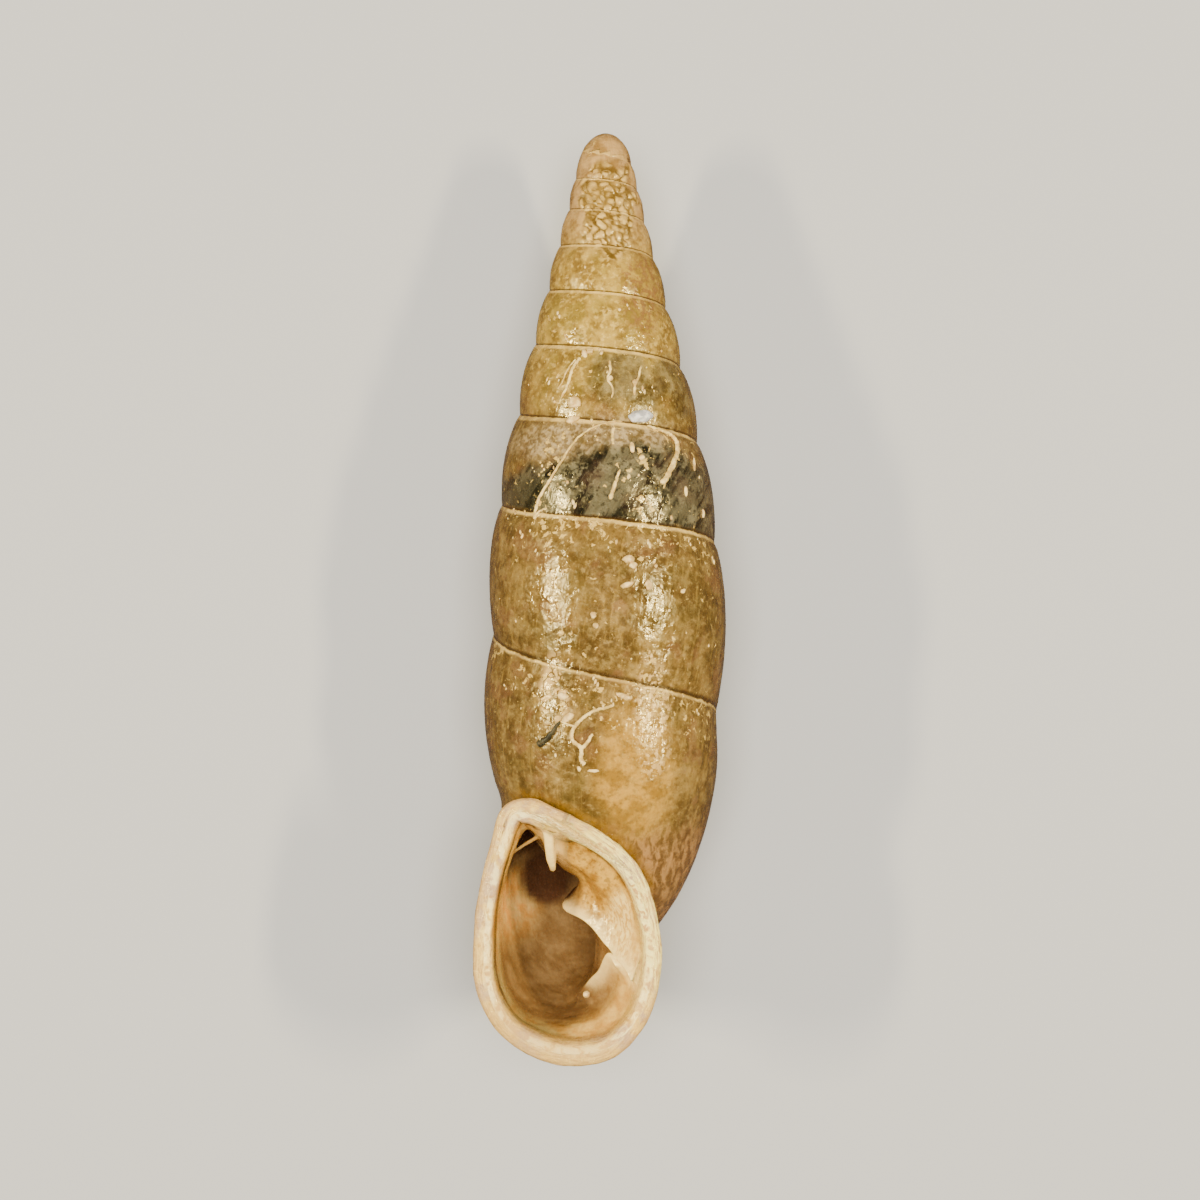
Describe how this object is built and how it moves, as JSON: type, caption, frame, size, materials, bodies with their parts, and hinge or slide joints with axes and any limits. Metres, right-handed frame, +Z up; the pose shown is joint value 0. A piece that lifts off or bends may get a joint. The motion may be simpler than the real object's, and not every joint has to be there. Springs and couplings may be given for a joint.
{
  "type": "door snail shell",
  "caption": "Empty left-handed spindle-shaped door snail shell with a reflected pale lip and folds in the mouth, lying on its back.",
  "frame": {"origin": "centre of the small flat rest spot on the back of the body whorl, on the floor", "axes": "+Y along the coiling axis towards the apex, +Z up, out of the mouth, +X to the right as the mouth faces the viewer with the apex up"},
  "size_m": [0.0043, 0.016, 0.0041],
  "materials": {
    "shell": "satin"
  },
  "bodies": {
    "root": {"shell": "shell"}
  },
  "joints": []
}
